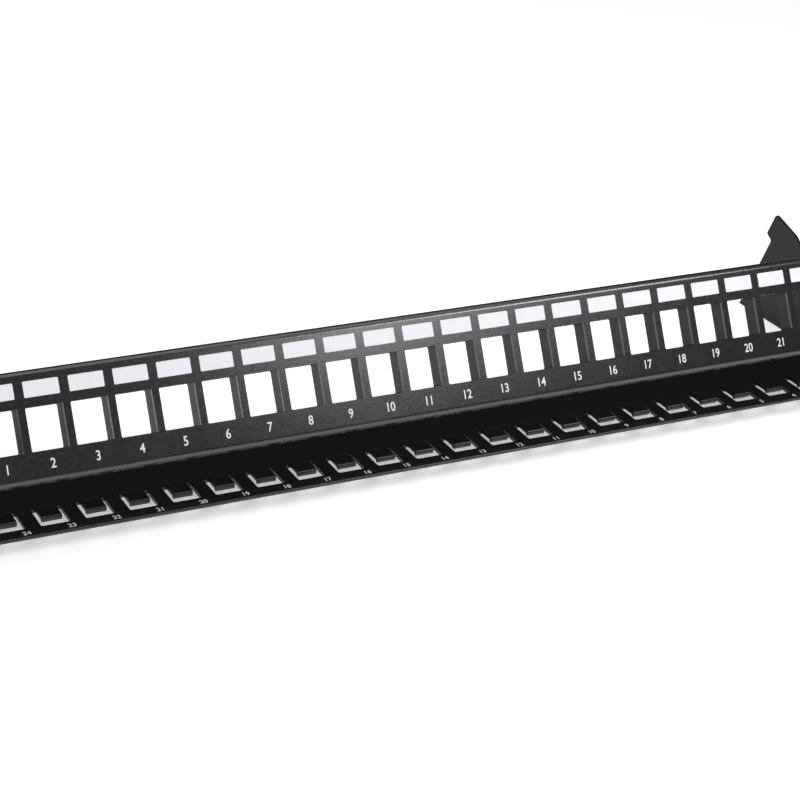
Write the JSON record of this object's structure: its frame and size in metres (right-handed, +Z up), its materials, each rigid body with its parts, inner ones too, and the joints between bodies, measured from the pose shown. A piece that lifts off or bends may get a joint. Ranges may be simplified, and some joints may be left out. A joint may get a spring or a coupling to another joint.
{
  "type": "patch panel",
  "caption": "Black keystone patch panel for a rack, with white write-on pads over its ports, tilting on hooked side arms above a slotted cable tie tray.",
  "frame": {"origin": "on the surface that the arms stand on, midway between the arms and midway between their front and rear ends", "axes": "+X to the right along the panel, +Y to the rear, +Z up"},
  "size_m": [0.4826, 0.129, 0.0684],
  "materials": {
    "powder_coat": "satin",
    "black_plastic": "matt",
    "label_white": "matt",
    "dark_rivet": "satin",
    "zinc_steel": "bright zinc"
  },
  "bodies": {
    "manager": {"tie_tray": "powder_coat", "arm_left": "powder_coat", "arm_right": "powder_coat", "tray_rivets": "dark_rivet", "pivot_screw_left": "zinc_steel", "pivot_screw_right": "zinc_steel", "pivot_nut_left": "zinc_steel", "pivot_nut_right": "zinc_steel", "ground_screw": "zinc_steel", "ground_washer": "zinc_steel", "ground_nut": "zinc_steel"},
    "panel": {"face_plate": "powder_coat", "end_plate_left": "powder_coat", "end_plate_right": "powder_coat", "ear_rivets": "dark_rivet", "label_carrier": "label_white", "label_channel_top": "black_plastic", "label_channel_bottom": "black_plastic", "pivot_washer_left": "zinc_steel", "pivot_washer_right": "zinc_steel", "port_frame_01": "black_plastic", "port_frame_02": "black_plastic", "port_frame_03": "black_plastic", "port_frame_04": "black_plastic", "port_frame_05": "black_plastic", "port_frame_06": "black_plastic", "port_frame_07": "black_plastic", "port_frame_08": "black_plastic", "port_frame_09": "black_plastic", "port_frame_10": "black_plastic", "port_frame_11": "black_plastic", "port_frame_12": "black_plastic", "port_frame_13": "black_plastic", "port_frame_14": "black_plastic", "port_frame_15": "black_plastic", "port_frame_16": "black_plastic", "port_frame_17": "black_plastic", "port_frame_18": "black_plastic", "port_frame_19": "black_plastic", "port_frame_20": "black_plastic", "port_frame_21": "black_plastic", "port_frame_22": "black_plastic", "port_frame_23": "black_plastic", "port_frame_24": "black_plastic"}
  },
  "joints": [
    {"name": "panel_tilt", "type": "hinge", "parent": "manager", "child": "panel", "pos_m": [0, -0.0422, 0.02925], "axis": [1, 0, 0], "range_deg": [-15, 28]}
  ]
}
